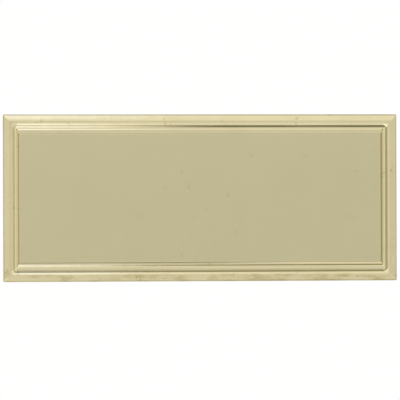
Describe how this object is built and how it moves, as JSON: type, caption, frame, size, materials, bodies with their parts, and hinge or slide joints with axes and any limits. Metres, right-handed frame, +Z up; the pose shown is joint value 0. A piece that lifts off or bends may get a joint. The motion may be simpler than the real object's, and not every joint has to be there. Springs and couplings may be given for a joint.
{
  "type": "desk paperweight",
  "caption": "Rectangular polished brass paperweight with a hipped outer rail, a beaded inner slip and a sunken flat face plate, weighted inside and felted underneath.",
  "frame": {"origin": "centre of the underside of the felt pad, on the surface that the paperweight stands on", "axes": "+Z up through the face plate, +X along the length, +Y along the width"},
  "size_m": [0.127, 0.0538, 0.014],
  "materials": {
    "polished_brass": "polished",
    "slip_brass": "polished",
    "satin_brass": "satin",
    "cast_iron": "matte",
    "plated_steel": "satin",
    "screw_steel": "satin",
    "greyboard": "matte",
    "adhesive_film": "satin",
    "green_felt": "matte"
  },
  "bodies": {
    "root": {"bezel_frame": "polished_brass", "slip_front": "slip_brass", "slip_right": "slip_brass", "slip_back": "slip_brass", "slip_left": "slip_brass", "face_plate": "satin_brass", "plate_adhesive": "adhesive_film", "plate_backing": "greyboard", "weight_core": "cast_iron", "base_plate": "plated_steel", "base_screw_1": "screw_steel", "base_screw_2": "screw_steel", "base_screw_3": "screw_steel", "base_screw_4": "screw_steel", "felt_adhesive": "adhesive_film", "felt_pad": "green_felt"}
  },
  "joints": []
}
